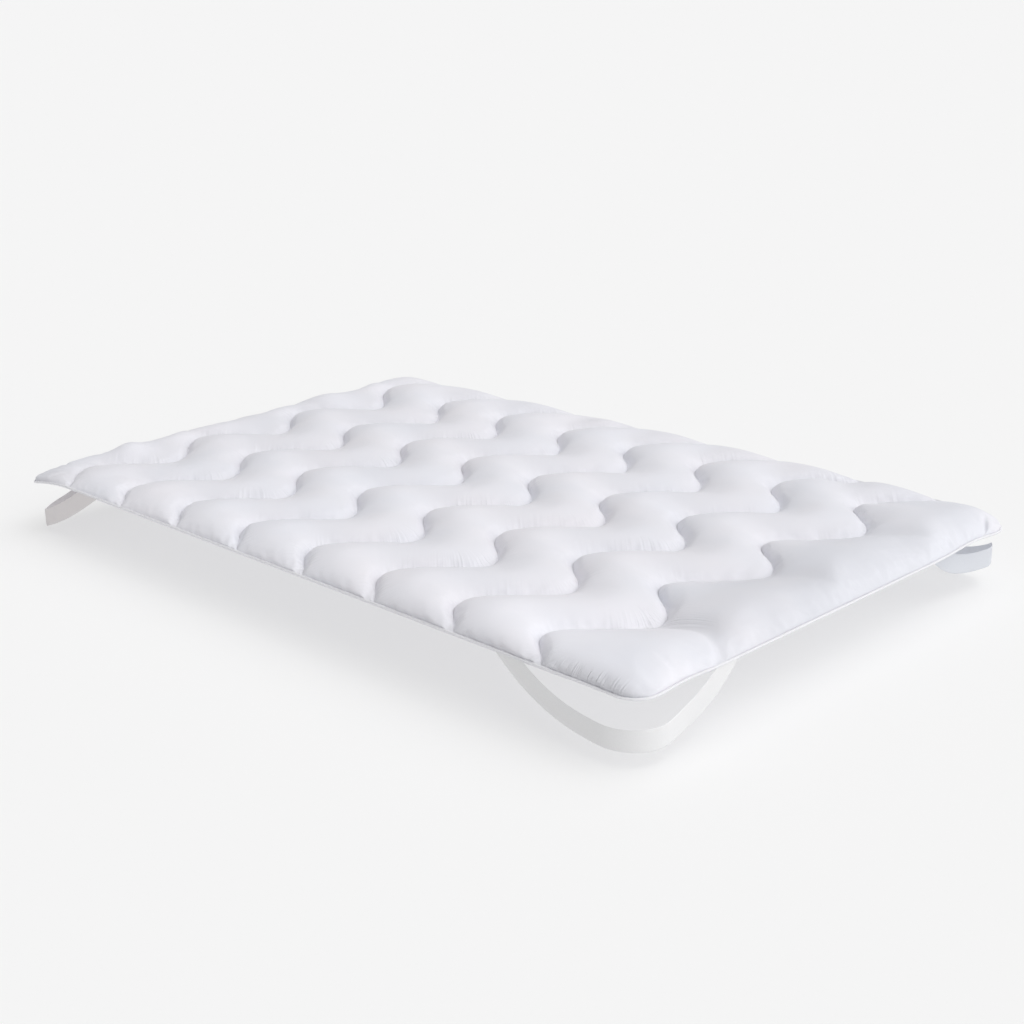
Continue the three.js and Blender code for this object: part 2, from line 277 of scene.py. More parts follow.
def wave_slant(y):
    """How far aslant the seams run: sideways step for each step along."""
    phase = wave_phase(y)
    turn = np.sin(phase - WAVE_SKEW * np.cos(phase)) * (1 + WAVE_SKEW * np.sin(phase))
    return -2 * math.pi * WAVE_SWING / WAVE_LENGTH * turn


def hook(y):
    """1 in the tight hooks and along the far side, where the channels are full, else 0."""
    tight = smooth((np.sin(wave_phase(y)) + HOOK_EARLY) / (1 - HOOK_EARLY))
    return np.maximum(tight, FAR_FULL * smooth((y - FAR_FULL_FROM_Y) / FAR_FULL_REACH))


def seam_x(number, y, end_x):
    """Where a seam, or an end of the pad, lies along the length."""
    if number == 0:
        return np.full_like(y, end_x)
    if number > SEAM_COUNT:
        return np.full_like(y, -end_x)
    near_far_side = smooth((y - FAR_SEAM_LEAN_FROM_Y) / (HALF_WIDTH - FAR_SEAM_LEAN_FROM_Y))
    most = FAR_SEAM_LEAN_LEAST + FAR_SEAM_LEAN * math.sin(math.pi * (number - 0.5) / SEAM_COUNT)
    lean = most * near_far_side
    return FIRST_SEAM_X - (number - 1) * SEAM_PITCH + wave(y) + lean


def channel_width(channel, y):
    """How wide a channel is along the pad."""
    return seam_x(channel, y, HALF_LENGTH) - seam_x(channel + 1, y, HALF_LENGTH)


def slant_loss(y):
    """Where the seams run aslant the channel is narrower and stands less high."""
    power = RUN_LOSS + (HOOK_LOSS - RUN_LOSS) * hook(y)
    return (1 + wave_slant(y) ** 2) ** -power


crossings = [seam_x(n, np.array(0.0), HALF_LENGTH) for n in range(1, SEAM_COUNT + 1)]
print("seams cross the middle at", [round(float(at), 3) for at in crossings])

# %% [markdown]
# ## The top cloth
#
# Between two seams the filling lifts the cloth into a round channel, and at a seam the cloth
# dives down almost upright into a crease. A sine raised to a power below one has just that
# profile. Towards the edge the whole cloth rolls down to the piping on a quarter circle.

# %% Height of the top cloth
# One valley is pressed along part of a circle, between two angles in degrees.
HOLLOW_PLACE = (0.832, -0.476)
HOLLOW_RADIUS = 0.138
HOLLOW_ANGLES = (20.0, 118.0)
HOLLOW_DEPTH = 0.019
HOLLOW_INSIDE = 0.008
HOLLOW_OUTSIDE = 0.045
# Creases pinched by the edge seam and, with a depth below zero, fuller places: where, which
# way in degrees, how long and how wide from the middle, and how deep.
CREASES = [
    (0.938, -0.561, 8.0, 0.030, 0.0070, 0.0060),
    (0.938, -0.489, -12.0, 0.034, 0.0065, 0.0065),
    (0.938, -0.392, 15.0, 0.024, 0.0080, 0.0040),
    (0.940, 0.318, 10.0, 0.030, 0.0080, 0.0050),
    (0.933, 0.484, 126.0, 0.027, 0.0046, 0.0200),
    (0.935, 0.343, 120.0, 0.022, 0.0080, 0.0100),
    (0.885, 0.515, 0.0, 0.060, 0.0600, -0.0100),
    (0.565, 0.530, 0.0, 0.040, 0.0500, 0.0110),
    (-0.235, 0.535, 0.0, 0.040, 0.0500, 0.0070),
    (0.880, 0.560, 60.0, 0.028, 0.0100, 0.0050),
    (-0.905, -0.560, 40.0, 0.040, 0.0090, 0.0060),
    (-0.870, -0.575, 75.0, 0.030, 0.0080, 0.0050),
    (-0.860, 0.500, 0.0, 0.110, 0.0900, -0.0140),
    (-0.880, 0.235, 90.0, 0.060, 0.0700, -0.0180),
    (-0.880, -0.110, 90.0, 0.060, 0.0600, -0.0080),
    (-0.880, -0.368, 90.0, 0.038, 0.0500, -0.0170),
]
HOLLOW_FADE_DEGREES = 25.0
SHOULDER = 0.050
DOME = 0.18
ROUNDNESS = 0.9
# The valley goes no deeper than this below the rim.
DEEPEST = 0.007
END_RISES = {0: 1.06, SEAM_COUNT: 0.92}
THIN_PLACE = (-0.80, -0.60)
THIN_REACH = 0.30
THINNER = 0.36


def hollow(x, y):
    """How deep the valley presses the top cloth in."""
    from_x, from_y = x - HOLLOW_PLACE[0], y - HOLLOW_PLACE[1]
    past = np.hypot(from_x, from_y) - HOLLOW_RADIUS
    angle = np.degrees(np.arctan2(from_y, from_x))
    within = smooth((angle - HOLLOW_ANGLES[0]) / HOLLOW_FADE_DEGREES + 1)
    within = within * smooth((HOLLOW_ANGLES[1] - angle) / HOLLOW_FADE_DEGREES + 1)
    half_width = np.where(past < 0, HOLLOW_INSIDE, HOLLOW_OUTSIDE)
    return within * HOLLOW_DEPTH * np.exp(-((past / half_width) ** 2))


def creased(x, y):
    """How deep the pinched folds press the top cloth in."""
    total = np.zeros(np.broadcast(x, y).shape)
    for at_x, at_y, way, length, half_width, depth in CREASES:
        c, s = math.cos(math.radians(way)), math.sin(math.radians(way))
        along = ((x - at_x) * c + (y - at_y) * s) / length
        across = ((y - at_y) * c - (x - at_x) * s) / half_width
        total += depth * np.exp(-(along**2) - across**2)
    return total


def edge_roll(x, y, offset):
    """0 at the piping, rising on a quarter circle to 1 where the cloth is at its full height."""
    inset = np.maximum(inset_from_outline(x, y, offset), 0)
    to_rim = 1 - np.minimum(inset / EDGE_ROLL, 1)
    return np.sqrt(1 - to_rim * to_rim)


def away_from_seams(channel, share, y):
    """How far a point lies from the seam on each side of it, square to the seam, in metres."""
    square = channel_width(channel, y) / np.hypot(1, wave_slant(y))
    return share * square, (1 - share) * square


def shoulder(distance):
    """The cloth leaves the seam almost upright and is level again a shoulder's width away."""
    return np.sqrt(1 - np.maximum(1 - distance / SHOULDER, 0) ** 2)


def top_height(x, y, channel, share, offset):
    """The height of the top cloth in a channel, a share of the way to its left-hand seam."""
    right_of, left_of = away_from_seams(channel, share, y)
    rise = CROWN_RISE * END_RISES.get(channel, 1.0)
    if channel == 0:
        full, dome = shoulder(left_of), np.cos(math.pi / 2 * share)
    elif channel == SEAM_COUNT:
        full, dome = shoulder(right_of), np.sin(math.pi / 2 * share)
    else:
        full, dome = shoulder(right_of) * shoulder(left_of), np.sin(math.pi * share)
    boxy, round_ = full * (1 - DOME + DOME * dome), dome**ROUNDNESS
    crown = rise * slant_loss(y) * (round_ + (boxy - round_) * hook(y))
    from_thin = np.hypot(x - THIN_PLACE[0], y - THIN_PLACE[1]) / THIN_REACH
    crown = crown * (1 - THINNER * np.exp(-(from_thin**2)))
    lift = np.maximum(SEAM_HEIGHT - RIM_HEIGHT + crown - hollow(x, y), -DEEPEST)
    return RIM_HEIGHT + edge_roll(x, y, offset) * lift - droop(x, y)


# %% [markdown]
# ## A grid that follows the seams
#
# The cloth is one grid of points whose columns run along the seams. A seam can then be a
# clean line of points, with no steps in it, and the columns can stand closer together beside
# the seams, where the cloth bends most.

# %% Grid of the top cloth
RIM_OFFSET = 2 * PIPING_RADIUS - 0.0004
END_COLUMNS = {0: 48, SEAM_COUNT: 27}
CHANNEL_COLUMNS = 40
ROWS = 228
RIM_ROWS = [0.0011, 0.0022, 0.0034]
CROWDING = 0.55
ROW_CROWDING = 0.15


def shares_of(count):
    """Places across a channel, from 0 up to 1, that stand closer together beside its seams."""
    even = np.arange(count) / count
    return even * (1 - CROWDING) + CROWDING * (0.5 - 0.5 * np.cos(math.pi * even))


def columns_of_pad():
    """The channel and the share across it of every column, from the right to the left."""
    columns = []
    for channel in range(SEAM_COUNT + 1):
        count = END_COLUMNS.get(channel, CHANNEL_COLUMNS)
        columns += [(channel, share) for share in shares_of(count)]
    return columns + [(SEAM_COUNT, 1.0)]


def rounded_off(x, row):
    """Brings a row in where the outline rounds off, so that the last rows follow the corner."""
    half = HALF_WIDTH - RIM_OFFSET
    radius = corner_value(x, row, "radius") - RIM_OFFSET
    past = np.maximum(np.abs(x) - (HALF_LENGTH - RIM_OFFSET - radius), 0)
    lost = radius - np.sqrt(np.maximum(radius * radius - past * past, 0))
    return row * (1 - lost / half * smooth((np.abs(row) - half / 2) / (half / 2)))


COLUMNS = columns_of_pad()
even_rows = np.linspace(-1, 1, ROWS + 1 - 2 * len(RIM_ROWS))
crowded_rows = ROW_CROWDING * np.sin(even_rows * math.pi / 2)
row_places = (HALF_WIDTH - RIM_OFFSET) * (even_rows * (1 - ROW_CROWDING) + crowded_rows)
rim_rows = HALF_WIDTH - RIM_OFFSET - np.array(RIM_ROWS)
row_places = np.sort(np.concatenate([row_places, rim_rows, -rim_rows]))
END_X = HALF_LENGTH - RIM_OFFSET
grid_x = np.zeros((len(COLUMNS), ROWS + 1))
grid_y = np.zeros_like(grid_x)
grid_z = np.zeros_like(grid_x)
grid_index = np.arange(grid_x.size).reshape(grid_x.shape)
for at, (channel, share) in enumerate(COLUMNS):
    here = seam_x(channel, row_places, END_X)
    after = seam_x(channel + 1, row_places, END_X)
    grid_x[at] = here + (after - here) * share
    grid_y[at] = rounded_off(grid_x[at], row_places)
    grid_z[at] = top_height(grid_x[at], grid_y[at], channel, share, RIM_OFFSET)
TOP_QUADS = np.stack(
    [grid_index[:-1, :-1], grid_index[:-1, 1:], grid_index[1:, 1:], grid_index[1:, :-1]], -1
).reshape(-1, 4)
print("top cloth:", grid_x.size, "points, highest", round(float(grid_z.max()) * 1000, 1), "mm")

# %% [markdown]
# ## Letting the filling push the cloth up
#
# A sewn cover is cut a little larger than the shape it ends up in: the needle draws it
# together along every seam, and the filling pushes up what is left between. Blender's cloth
# solver does the same. The grid starts as a flatter copy of the form with its seams and rim
# pinned, its threads are made longer, most of all beside the seams, and pressure from below
# does the rest. The small wrinkles that come out are real ones. Afterwards the
# cloth is brought back to the height of the form, calmed where a dense filling holds it
# smooth, and given the few folds that the edge seam pinches in it.
#
# The solver is stopped while the cloth is still taut, and its result is read off as plain
# points, so nothing of the simulation stays in the file.

# %% Cloth simulation
SIM_FRAMES = 12
START_HEIGHT = 0.62
THREAD_SLACK = 0.010
SEAM_SLACK = 0.09
SLACK_REACH = 0.014
FILLING_PRESSURE = 2.5
CLOTH_STIFFNESS = 15.0
BENDING_STIFFNESS = 10.0
FIRST_RIPPLE = 0.0005
PUFF_CALM = 0.85
BULGE_REACH = 0.011
NEAR_BULGE = 0.006
BULGE_FROM_X = -0.3
BULGE_GROWS_OVER = 1.1
LEAST_BULGE = 0.002
LEVEL_CELLS = 10
LEVEL_REACH = 0.030
CALM_CELLS = 2.5
CALM_REACH = 0.050
GATHERED_REACH = 0.05
GATHERED_LIVELY = 0.6
first_ripples = uneven(31, 0.010, 40)


def seam_distance():
    """How far each grid point lies from the nearest seam, measured along the pad."""
    apart = np.zeros_like(grid_x)
    for at, (channel, share) in enumerate(COLUMNS):
        apart[at] = np.minimum(share, 1 - share) * channel_width(channel, row_places)
    return apart


SEAM_DISTANCE = seam_distance()
RIM_DISTANCE = np.maximum(inset_from_outline(grid_x, grid_y, RIM_OFFSET), 0)
FROM_STITCHES = np.minimum(SEAM_DISTANCE, RIM_DISTANCE)
ON_SEAM = np.array([share in (0.0, 1.0) for _, share in COLUMNS])


def weights(piece, name, values):
    """A vertex group with a weight for each point, in steps of a tenth."""
    group = piece.vertex_groups.new(name=name)
    tenths = np.round(values.reshape(-1) * 10).astype(int)
    for tenth in range(1, 11):
        points = np.flatnonzero(tenths == tenth)
        if len(points):
            group.add([int(p) for p in points], tenth / 10, "REPLACE")
    return group.name


def simulated_top(form):
    """The form after the filling has pushed it up: the same grid of points, moved."""
    start = form.copy()
    start[..., 2] = RIM_HEIGHT + (form[..., 2] - RIM_HEIGHT) * START_HEIGHT
    pinned = np.zeros_like(grid_x)
    pinned[ON_SEAM] = pinned[[0, -1]] = 1
    pinned[:, [0, -1]] = 1
    start[..., 2] += first_ripples(grid_x, grid_y) * FIRST_RIPPLE * (1 - pinned)
    start[..., 2][pinned > 0] = form[..., 2][pinned > 0]
    sheet = cloth_object("sheet_on_the_filling", start.reshape(-1, 3), TOP_QUADS)

    cloth = sheet.modifiers.new("cloth", "CLOTH")
    cloth.point_cache.frame_start, cloth.point_cache.frame_end = 1, SIM_FRAMES
    cloth.collision_settings.use_collision = False
    cloth.collision_settings.use_self_collision = False
    beside = FROM_STITCHES / SLACK_REACH
    for name, value in dict(
        quality=4, mass=0.15, tension_stiffness=CLOTH_STIFFNESS,
        compression_stiffness=CLOTH_STIFFNESS, shear_stiffness=CLOTH_STIFFNESS / 3,
        bending_stiffness=BENDING_STIFFNESS, vertex_group_mass=weights(sheet, "pinned", pinned),
        vertex_group_shrink=weights(sheet, "slack", np.exp(-(beside**2))),
        shrink_min=-THREAD_SLACK, shrink_max=-SEAM_SLACK,
        use_pressure=True, uniform_pressure_force=FILLING_PRESSURE,
    ).items():
        setattr(cloth.settings, name, value)
    cloth.settings.effector_weights.gravity = 0
    for frame_number in range(1, SIM_FRAMES + 1):
        bpy.context.scene.frame_set(frame_number)
    evaluated = sheet.evaluated_get(bpy.context.evaluated_depsgraph_get())
    points = np.empty(grid_x.size * 3, np.float32)
    evaluated.data.vertices.foreach_get("co", points)
    bpy.data.objects.remove(sheet)
    bpy.context.scene.frame_set(1)
    return points.reshape(form.shape).astype(float)


def bulged(x, y):
    """Moves points out where the puffs bulge over the piping, most at the near right corner."""
    depth = np.maximum(inset_from_outline(x, y, RIM_OFFSET), 0) / BULGE_REACH
    bulge = depth * np.exp(1 - depth)
    more = NEAR_BULGE * smooth((x - BULGE_FROM_X) / BULGE_GROWS_OVER)
    out_x, out_y = outward(x, y, RIM_OFFSET)
    long_side = LEAST_BULGE + more * smooth(-out_y)
    return x + out_x * bulge * LEAST_BULGE, y + out_y * bulge * long_side


def blurred(field, cells):
    """The field with everything finer than some grid cells smoothed away."""
    reach = int(3 * cells)
    weight = np.exp(-0.5 * (np.arange(-reach, reach + 1) / cells) ** 2)
    weight /= weight.sum()
    for axis in (0, 1):
        pad_by = [(reach, reach) if a == axis else (0, 0) for a in range(field.ndim)]
        wide = np.pad(field, pad_by, mode="edge")
        length = field.shape[axis]
        field = sum(w * np.take(wide, range(k, k + length), axis) for k, w in enumerate(weight))
    return field


def cloth_object(name, points, faces, rounded=True):
    """An object of the given points and faces, shaded smooth unless it is flat."""
    mesh = bpy.data.meshes.new(name)
    mesh.from_pydata([tuple(p) for p in points], [], [tuple(int(i) for i in f) for f in faces])
    mesh.update()
    if rounded:
        mesh.shade_smooth()
    made = bpy.data.objects.new(name, mesh)
    bpy.context.scene.collection.objects.link(made)
    return made


bulged_x, bulged_y = bulged(grid_x, grid_y)
form = np.stack([*as_it_lies(bulged_x, bulged_y), grid_z], -1)
top_cloth = simulated_top(form)
level = blurred(form[..., 2], LEVEL_CELLS) - blurred(top_cloth[..., 2], LEVEL_CELLS)
top_cloth[..., 2] += level * smooth(FROM_STITCHES / LEVEL_REACH)
calm = blurred(top_cloth[..., 2], CALM_CELLS)
gathered = 1 - smooth((grid_y + HALF_WIDTH) / GATHERED_REACH)
pressed = PUFF_CALM * smooth(SEAM_DISTANCE / CALM_REACH) * (1 - GATHERED_LIVELY * gathered)
top_cloth[..., 2] += (calm - top_cloth[..., 2]) * pressed
top_cloth[..., 2] -= creased(grid_x, grid_y) * edge_roll(grid_x, grid_y, RIM_OFFSET)
print("highest point of the form", round(float(form[..., 2].max()) * 1000, 1), "mm, of the cloth",
      round(float(top_cloth[..., 2].max()) * 1000, 1), "mm")

# %% [markdown]
# ## Closing the pad underneath
#
# The underside is sewn along the same seams but lies flat on the mattress, so only shallow
# grooves show there. It needs far fewer points, so it takes every third column and row, and a
# strip of triangles joins its coarse edge to the fine rim, so that top and underside become
# one filled piece. The rim has two points more than three times the coarse edge, so the strip
# leaves one small hole underneath, at the near right-hand corner.

# %% Underside and mesh of the pad
STEP = 3
GROOVE_DEPTH = 0.0035
GROOVE_FADE = 0.06
GROOVE_SHARPNESS = 0.5
UNDERSIDE_START = 0.0022


def underside_height(x, y, share):
    """The height of the underside: a quarter round up to the rim, and a groove at each seam."""
    from_rim = np.maximum(inset_from_outline(x, y, RIM_OFFSET), 0)
    to_flat = -inset_from_outline(x, y, FLAT_INSET, FLAT_CORNER_RADIUS)
    along = from_rim / np.maximum(from_rim + np.maximum(to_flat, 0), 1e-9)
    lift = 1 - np.sqrt(1 - (1 - along) ** 2)
    rim = RIM_HEIGHT - droop(x, y)
    height = rim * lift - droop(x, y) * (1 - along - lift)
    groove = (1 - np.abs(np.sin(math.pi * share)) ** GROOVE_SHARPNESS) * GROOVE_DEPTH
    return height + groove * smooth(from_rim / GROOVE_FADE)


def rim_loop(columns, rows):
    """The grid places round the rim, anticlockwise from above."""
    loop = [(0, row) for row in range(rows)]
    loop += [(column, rows) for column in range(columns)]
    loop += [(columns, row) for row in range(rows, 0, -1)]
    loop += [(column, 0) for column in range(columns, 0, -1)]
    return loop


def close_pad():
    """The points and faces of the whole pad: top cloth, underside and the strip between."""
    last = len(COLUMNS) - 1
    top_points = top_cloth.reshape(-1, 3)
    under_x, under_y = grid_x[::STEP, ::STEP].copy(), grid_y[::STEP, ::STEP].copy()
    toward_x, toward_y = outward(under_x, under_y, RIM_OFFSET)
    border = np.zeros(under_x.shape, bool)
    border[[0, -1], :] = border[:, [0, -1]] = True
    under_x -= toward_x * UNDERSIDE_START * border
    under_y -= toward_y * UNDERSIDE_START * border
    shares = np.array([share for _, share in COLUMNS])[::STEP, None]
    under_z = underside_height(under_x, under_y, shares)
    under_points = np.stack([*as_it_lies(under_x, under_y), under_z], -1).reshape(-1, 3)
    under = np.arange(under_x.size).reshape(under_x.shape) + len(top_points)
    under_quads = np.stack(
        [under[:-1, :-1], under[1:, :-1], under[1:, 1:], under[:-1, 1:]], -1
    ).reshape(-1, 4)

    fine = [grid_index[c, r] for c, r in rim_loop(last, ROWS)]
    coarse = [under[c, r] for c, r in rim_loop(last // STEP, ROWS // STEP)]
    strip = []
    for k, a in enumerate(coarse):
        b = coarse[(k + 1) % len(coarse)]
        f = [fine[(k * STEP + j) % len(fine)] for j in range(STEP + 1)]
        strip += [(f[0], a, f[1]), (f[1], a, f[2]), (f[2], a, b), (f[2], b, f[3])]
    points = np.vstack([top_points, under_points])
    faces = [tuple(q) for q in TOP_QUADS] + [tuple(q) for q in under_quads] + strip
    return points, faces


pad = cloth_object("quilted_cover", *close_pad())
print("pad:", len(pad.data.vertices), "points,",
      sum(len(p.vertices) - 2 for p in pad.data.polygons), "triangles")

# %% [markdown]
# ## The piping
#
# Piping is a thin cord wrapped in a strip of cloth and sewn between the two cloths. It is a
# tube that follows the rim of the pad. The wrapping is never quite tight, so the tube is a
# little thicker in some places.

# %% Piping
PIPING_SIDES = 10
PIPING_UNEVEN = 0.00018
PIPING_LEAST_STEP = 0.0008
wrapping = uneven(21, 0.012)


def piping_mesh():
    """The points and faces of the tube round the rim."""
    loop = rim_loop(len(COLUMNS) - 1, ROWS)
    x, y, z = (np.array([grid[c, r] for c, r in loop]) for grid in (grid_x, grid_y, grid_z))
    apart = np.hypot(np.diff(x, append=x[0]), np.diff(y, append=y[0]))
    keep = apart > PIPING_LEAST_STEP
    x, y, z = x[keep], y[keep], z[keep]
    out_x, out_y = outward(x, y, RIM_OFFSET)
    angle = 2 * math.pi * np.arange(PIPING_SIDES) / PIPING_SIDES
    radius = PIPING_RADIUS + PIPING_UNEVEN * wrapping(x, y)
    middle = RIM_OFFSET - PIPING_RADIUS
    reach = middle + radius[:, None] * np.cos(angle)
    count = len(x)
    x, y, z, out_x, out_y, radius = (v[:, None] for v in (x, y, z, out_x, out_y, radius))
    flat = as_it_lies(x + out_x * reach, y + out_y * reach)
    points = np.stack([*flat, z + radius * np.sin(angle)], -1)
    index = np.arange(count * PIPING_SIDES).reshape(count, PIPING_SIDES)
    following = np.roll(index, -1, 0)
    faces = np.stack(
        [index, following, np.roll(following, -1, 1), np.roll(index, -1, 1)], -1
    ).reshape(-1, 4)
    return points.reshape(-1, 3), faces


piping = cloth_object("piping_cord", *piping_mesh())
print("piping:", len(piping.data.polygons), "faces")

# %% [markdown]
# ## The quilting stitches
#
# The quilting thread dips through both cloths and comes up again every few millimetres. What
# shows of it is a row of short stitches at the bottom of each crease, each one pulled down at
# both ends. They are laid along the finished cloth, so they follow every unevenness in it.

# %% Quilting stitches
STITCH_LENGTH = 0.0038
STITCH_SPACING = 0.0052
THREAD_RADIUS = 0.00045
THREAD_LIFT = 0.0006
STITCH_FROM_ENDS = (0.006, 0.010)
STITCH_LOOKS_AHEAD = 0.002
# Each ring of a stitch: how far along it, how thick, and how high above the middle.
STITCH_RINGS = [(0.0, 0.35, -0.8), (0.3, 1.0, 0.5), (0.7, 1.0, 0.5), (1.0, 0.35, -0.8)]
THREAD_SIDES = 5


def stitches_along(line):
    """Rings of points round each stitch of one seam."""
    step = np.linalg.norm(np.diff(line, axis=0), axis=1)
    run = np.concatenate([[0], np.cumsum(step)])
    starts = np.arange(STITCH_FROM_ENDS[0], run[-1] - STITCH_FROM_ENDS[1], STITCH_SPACING)
    angle = 2 * math.pi * np.arange(THREAD_SIDES) / THREAD_SIDES
    rings = []

    def on_line(at):
        return np.stack([np.interp(at, run, line[:, k]) for k in range(3)], -1)

    for share, thick, lift in STITCH_RINGS:
        at = starts + share * STITCH_LENGTH
        middle = on_line(at)
        way = on_line(at + STITCH_LOOKS_AHEAD) - middle
        way /= np.linalg.norm(way, axis=1)[:, None]
        aside = np.stack([-way[:, 1], way[:, 0], np.zeros(len(at))], -1)
        aside /= np.linalg.norm(aside, axis=1)[:, None]
        upward = np.cross(way, aside)
        middle = middle + upward * (THREAD_LIFT * lift)
        around = aside[:, None] * np.cos(angle)[:, None]
        around = around + upward[:, None] * np.sin(angle)[:, None]
        rings.append(middle[:, None] + around * THREAD_RADIUS * thick)
    return np.stack(rings, 1)


def thread_mesh():
    """The points and faces of all the stitches, and how many stitches there are."""
    seams = [at for at in np.flatnonzero(ON_SEAM) if 0 < at < len(COLUMNS) - 1]
    stitches = np.concatenate([stitches_along(top_cloth[at]) for at in seams])
    index = np.arange(stitches[..., 0].size).reshape(stitches.shape[:3])
    onward = np.roll(index, -1, 2)
    walls = np.stack([index[:, :-1], onward[:, :-1], onward[:, 1:], index[:, 1:]], -1)
    faces = [tuple(f) for f in walls.reshape(-1, 4)]
    faces += [tuple(f[::-1]) for f in index[:, 0]] + [tuple(f) for f in index[:, -1]]
    return stitches.reshape(-1, 3), faces, len(stitches)


thread_points, thread_faces, stitch_count = thread_mesh()
thread = cloth_object("quilting_thread", thread_points, thread_faces)
print("quilting thread:", stitch_count, "stitches,", len(thread_faces), "faces")

# %% [markdown]
# ## The corner straps
#
# Each strap is a length of flat woven elastic, sewn into the edge seam on both sides of a
# corner, so that it hangs as a loop for the mattress corner to go through. A strap is a thin
# band that is bent and never bulges, so it is built directly: its middle line is worked out
# first, and the band is spread to both sides of it. Where a leg of the loop reaches the edge
# at a slant, the band's upper edge disappears into the seam before its lower edge does.

# %% Straps
STRAP_THICKNESS = 0.0018
STRAP_STEPS = 150
STRAP_ROWS = 14
STRAP_LEFT = 0.003
STRAP_SEARCH = 0.12
STRAP_SEARCH_STEPS = 3000
STRAP_SQUARENESS = 6
STRAP_EDGE = 0.00005
STRAP_TOP = RIM_HEIGHT - 0.0006


def strap_place(corner, distance):
    """A point of the strap's line in plan, and the way outwards from it."""
    radius = corner["turn"]
    edge = PIPING_RADIUS + corner["inset"]
    quarter = math.pi / 4 * radius
    angle = math.pi / 4 - np.clip(distance / radius, -math.pi / 4, math.pi / 4)
    beyond = np.maximum(np.abs(distance) - quarter, 0) * np.sign(distance)
    out_x, out_y = np.cos(angle), np.sin(angle)
    x = HALF_LENGTH - edge - radius + radius * out_x + np.minimum(beyond, 0)
    y = HALF_WIDTH - edge - radius + radius * out_y - np.maximum(beyond, 0)
    return corner["end"] * x, corner["side"] * y, corner["end"] * out_x, corner["side"] * out_y


def strap_edges(corner, distance):
    """The heights of the band's lower and upper edges."""
    reach = np.where(distance < 0, corner["side_reach"], corner["end_reach"])
    bend = np.where(distance < 0, corner["side_bend"], corner["end_bend"])
    share = np.abs(distance) / reach
    drop = corner["sag"] * (1 - share**bend)
    drop = drop + np.where(distance < 0, corner["dip"] * 4 * share * np.maximum(1 - share, 0), 0)
    slope = corner["sag"] * bend * share ** (bend - 1) / reach
    half = STRAP_WIDTH / 2 * np.hypot(1, slope)
    return RIM_HEIGHT - drop - half, np.minimum(RIM_HEIGHT - drop + half, STRAP_TOP)


def strap_mesh(corner):
    """The band's points and faces, the area of one side, and its length."""
    line = np.linspace(-corner["side_reach"] - STRAP_SEARCH, corner["end_reach"] + STRAP_SEARCH,
                       STRAP_SEARCH_STEPS)
    low, high = strap_edges(corner, line)
    on_show = line[high - low > STRAP_LEFT]
    distance = np.linspace(on_show[0], on_show[-1], STRAP_STEPS)
    low, high = strap_edges(corner, distance)
    x, y, out_x, out_y = (value[:, None] for value in strap_place(corner, distance))
    share = 0.5 - 0.5 * np.cos(np.linspace(0, math.pi, STRAP_ROWS + 1))
    height = low[:, None] + (high - low)[:, None] * share
    rounding = np.sqrt(1 - (2 * share - 1) ** STRAP_SQUARENESS) * 0.5 * STRAP_THICKNESS + STRAP_EDGE
    sides = []
    for face in (1, -1):
        flat = as_it_lies(x + face * out_x * rounding, y + face * out_y * rounding)
        sides.append(np.stack([*flat, height], -1))
    points = np.concatenate([sides[0], sides[1][:, ::-1]], 1)
    around = points.shape[1]
    index = np.arange(points.shape[0] * around).reshape(points.shape[0], around)
    following = np.roll(index, -1, 1)
    faces = np.stack([index[:-1], index[1:], following[1:], following[:-1]], -1).reshape(-1, 4)
    faces = [list(f) for f in faces] + [list(index[0]), list(index[-1][::-1])]
    if corner["end"] * corner["side"] > 0:
        faces = [f[::-1] for f in faces]
    return points.reshape(-1, 3), faces, face_area(sides[0]), float(distance[-1] - distance[0])


def face_area(grid):
    """The area of a grid of points, from the two diagonals of each cell."""
    a = grid[1:, 1:] - grid[:-1, :-1]
    b = grid[1:, :-1] - grid[:-1, 1:]
    return float(np.linalg.norm(np.cross(a, b), axis=-1).sum() / 2)


straps = {}
for corner_name, corner in CORNERS.items():
    points, faces, area, length = strap_mesh(corner)
    band = cloth_object("strap_" + corner_name, points, faces)
    straps[corner_name] = (band, area, length)
    print(band.name, "runs", round(length, 3), "m, area", round(area, 4), "m2, lowest",
          round(float(points[:, 2].min()), 4))

# %% [markdown]
# ## Writing a material as sums
#
# A material is a net of nodes, which is hard to read as code. Two small classes make it read
# like arithmetic. `Finish` is one material and brings in any node; `Flow` is what comes out
# of a node, and adding or multiplying it puts in the Math node for that.

# %% Material helpers
class Flow:
    """What comes out of one socket of a node."""

    def __init__(self, finish, socket):
        self.finish, self.socket = finish, socket

    def _with(self, operation, first, second):
        kind, pair = "ShaderNodeMath", (first, second)
        if self.socket.type in ("VECTOR", "RGBA"):
            kind = "ShaderNodeVectorMath"
            pair = (v if isinstance(v, Flow) else (v,) * 3 for v in pair)
        return self.finish.add(kind, {"operation": operation}, dict(enumerate(pair)))

    def __add__(self, other):
        return self._with("ADD", self, other)

    def __sub__(self, other):
        return self._with("SUBTRACT", self, other)

    def __rsub__(self, other):
        return self._with("SUBTRACT", other, self)

    def __mul__(self, other):
        return self._with("MULTIPLY", self, other)

    def __pow__(self, other):
        return self._with("POWER", self, other)

    def __truediv__(self, other):
        return self._with("DIVIDE", self, other)

    def through(self, operation, other=0.0):
        """The value put through one operation of the Math node, such as a sine or a modulo."""
        return self.finish.add("ShaderNodeMath", {"operation": operation}, {0: self, 1: other})

    def clamped(self):
        """The value, kept between 0 and 1."""
        return self.through("MINIMUM", 1.0).through("MAXIMUM")

    def hill(self, half_width):
        """1 where the value is 0, falling smoothly away on both sides."""
        return ((self / half_width) ** 2.0 * -1.0).through("EXPONENT")


